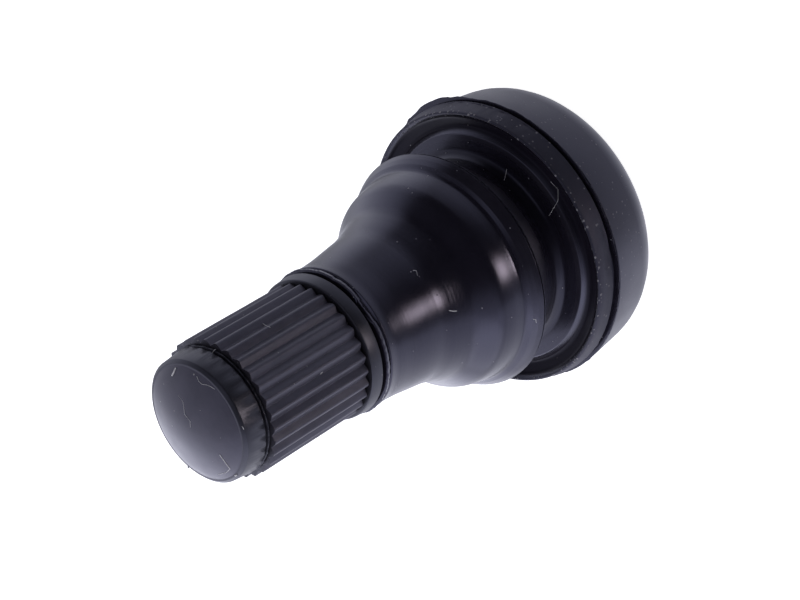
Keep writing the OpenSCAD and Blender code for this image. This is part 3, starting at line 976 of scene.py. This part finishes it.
# %% Lint
lint_white, tree, shader, place = material("lint_white")
fuzz = use(tree, mottle, Vector=place, Scale=9000.0)
pale = tinted(tree, fuzz, (0.62, 0.61, 0.61), (0.90, 0.89, 0.88))
tree.links.new(pale.outputs[2], shader.inputs["Base Color"])
shader.inputs["Roughness"].default_value = 0.8
cuts = 5
passes = 60
slack = 0.004 * mm


def fibre(skin, dots, thick):
    """A fibre laid on a skin along picture points, as a mesh object."""
    line = bpy.data.curves.new("fibre", "CURVE")
    line.dimensions = "3D"
    line.bevel_depth = thick / 2 * mm
    line.bevel_resolution = 1
    line.use_fill_caps = True
    steps = [Vector(a).lerp(Vector(b), k / cuts) for a, b in zip(dots, dots[1:]) for k in range(cuts)]
    ways = [sight(*step) for step in steps + [Vector(dots[-1])]]
    far = [skin.ray_cast(eye, way)[3] - thick * 0.4 * mm for way in ways]
    for _ in range(passes):
        for k in range(1, len(far) - 1):
            far[k] = min(far[k], (far[k - 1] + far[k + 1]) / 2 + slack)
    spline = line.splines.new("POLY")
    spline.points.add(len(far) - 1)
    for point, way, reach in zip(spline.points, ways, far):
        point.co = (*(eye + way * reach), 1)
    made = bpy.data.objects.new("fibre", line)
    bpy.context.collection.objects.link(made)
    pick(made)
    bpy.ops.object.convert(target="MESH")
    return bpy.context.object


def lint(name, carrier, fibres, body):
    """Fibres of (thickness in mm, picture points) on a carrier, as one piece on its body."""
    bpy.context.view_layer.update()
    skin = BVHTree.FromObject(carrier, bpy.context.evaluated_depsgraph_get())
    laid = [fibre(skin, dots, thick) for thick, dots in fibres]
    piece = join(*laid)
    piece.name = piece.data.name = name
    bpy.ops.object.shade_smooth()
    coat(piece, lint_white)
    print(f"{name}: {len(fibres)} fibres")
    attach(piece, body)


lint("lint_on_cap", cap, [
    (0.10, [(171.4, 375.3), (173.4, 371.2), (175.2, 367.2)]),
    (0.022, [(196.3, 375.8), (198, 380.5), (201.5, 383.8), (206.7, 384.6), (210, 386), (214, 388.7)]),
    (0.016, [(177.5, 394.2), (182.5, 401.7), (184.2, 414), (189.5, 420.8), (190, 427)]),
    (0.045, [(219.2, 454.2), (224, 461), (228.3, 466.7), (229.6, 468.5)]),
    (0.028, [(229.6, 468.5), (225.8, 472), (218, 474)]),
    (0.10, [(234.6, 475), (236.4, 474.4)]),
    (0.035, [(241.6, 426), (243.4, 429)]),
    (0.03, [(262.5, 323.2), (266.2, 325.5), (270, 327)]),
    (0.04, [(212.2, 352), (213.8, 349.6), (215.6, 348.6)]),
    (0.05, [(320, 373.6), (322, 371.4)]),
], "turning_cap")
lint("lint_on_rubber", rubber, [
    (0.032, [(506.2, 168.7), (505.2, 174), (503.7, 180)]),
    (0.02, [(550, 181.2), (557.5, 188.7), (557.6, 200), (548.7, 215)]),
    (0.045, [(448.7, 310), (452.5, 310.6), (456.2, 310.5)]),
    (0.028, [(532.5, 318.7), (535.5, 319.2), (535.7, 322.5)]),
    (0.022, [(412.5, 270), (415.7, 270), (417, 275)]),
], "valve")

# %% [markdown]
# ## Floor and light
# The floor is plain and white. The light is a soft studio: a white surround on one side of the valve and a dim
# room on the other, so that the black rubber is drawn by its reflections. Black gloss shows each lamp's shape, so
# the soft boxes are wide patches with soft edges, and a short row of small warm lamps makes the two highlights on
# the shoulder and the neck. Area lamps could do this too, but a patch in the world, given by its direction, stays
# out of the picture and leaves no edge. The floor lets glossy rays through to it.

# %% Floor
pick_none()
bpy.ops.mesh.primitive_plane_add(size=6, location=(0, 0, 0))
floor = bpy.context.object
floor.name = "floor"
floor_white, tree, shader, _ = material("floor_white")
shader.inputs["Base Color"].default_value = (0.9, 0.9, 0.9, 1)
shader.inputs["Roughness"].default_value = 0.9
paper = add(tree, "Emission", {"Color": (1, 1, 1, 1), "Strength": 0.95})
seen = add(tree, "LightPath")
both = add(tree, "AddShader", {0: shader.outputs[0], 1: paper.outputs[0]})
share = add(tree, "MixShader", {0: seen.outputs["Is Camera Ray"], 1: shader.outputs[0], 2: both.outputs[0]})
tree.links.new(share.outputs[0], tree.nodes["Material Output"].inputs[0])
floor.data.materials.append(floor_white)
floor.visible_glossy = False
print("floor:", floor.name)


# %% Light by direction
def heading(polar, around):
    """A direction from its angle to +Z and its angle round it, in degrees."""
    polar, around = math.radians(polar), math.radians(around)
    return Vector((math.sin(polar) * math.cos(around), math.sin(polar) * math.sin(around), math.cos(polar)))


world = bpy.data.worlds.new("studio")
bpy.context.scene.world = world
world.use_nodes = True
tree = world.node_tree
way = tree.nodes.new("ShaderNodeTexCoord").outputs["Generated"]


def toward(direction, wide, full, strength):
    """Light from round a direction: none beyond wide degrees from it, all of it within full degrees."""
    lean = add(tree, "VectorMath", {0: way, 1: direction}, operation="DOT_PRODUCT")
    band = add(tree, "MapRange", {0: lean.outputs["Value"], 1: math.cos(math.radians(wide)),
                                  2: math.cos(math.radians(full)), 3: 0.0, 4: strength},
               interpolation_type="SMOOTHSTEP")
    return band.outputs[0]


def gathered(start, patches):
    """A strength and the light of patches of (angle to +Z, angle round it, wide, full, strength)."""
    for polar, around, wide, full, strength in patches:
        start = sum_of(tree, start, toward(heading(polar, around), wide, full, strength))
    return start


# %% Soft boxes and warm lamps
room = 0.018
soft_boxes = [
    (110, -55, 120, 0, 0.62),
    (50, -110, 80, 0, 0.47),
    (150, 154, 60, 0, 0.64),
    (94, 200, 44, 6, 0.88),
    (70, -28, 40, 10, 0.30),
    (88, -77, 35, 0, 1.42),
    (100, -40, 71, 63, 0.54),
    (66, 14, 34, 6, 0.42),
    (20, 125, 26, 4, 0.60),
    (38, -5, 26, 4, 0.50),
    (150, 10, 45, 5, 0.22),
]
warm_row = [
    (109, 54, 7, 1, 8.0),
    (109, 60, 7, 1, 9.5),
    (109, 66, 7, 1, 6.0),
    (118, 58, 10, 2, 1.4),
]
cool_white, warm_white = (0.87, 0.88, 1.0, 1), (1.0, 0.86, 0.76, 1)
seen = add(tree, "LightPath")
shown = add(tree, "Mix", {"Factor": seen.outputs["Is Camera Ray"]}, data_type="FLOAT")
tree.links.new(gathered(room, soft_boxes), shown.inputs[2])
shown.inputs[3].default_value = 1.0
sky = tree.nodes["Background"]
sky.inputs["Color"].default_value = cool_white
tree.links.new(shown.outputs[0], sky.inputs["Strength"])
warm = add(tree, "Background", {"Color": warm_white, "Strength": gathered(0.0, warm_row)})
whole = add(tree, "AddShader", {0: sky.outputs[0], 1: warm.outputs[0]})
tree.links.new(whole.outputs[0], tree.nodes["World Output"].inputs[0])
print("light:", len(soft_boxes), "soft boxes and", len(warm_row), "warm lamps")

# %% Side lamp
lamp = bpy.data.lights.new("side_softbox", "AREA")
lamp.shape = "SQUARE"
lamp.size = 0.3
lamp.energy = 0.15
lamp_at = Vector((0.30, -0.09, 0.12))
valve_middle = Vector((0, 0, 0.015))
softbox = bpy.data.objects.new("side_softbox", lamp)
softbox.location = lamp_at
softbox.rotation_mode = "QUATERNION"
softbox.rotation_quaternion = (valve_middle - lamp_at).to_track_quat("-Z", "Y")
bpy.context.collection.objects.link(softbox)
bpy.context.scene.view_settings.view_transform = "Standard"
print("side lamp:", lamp.energy, "W")
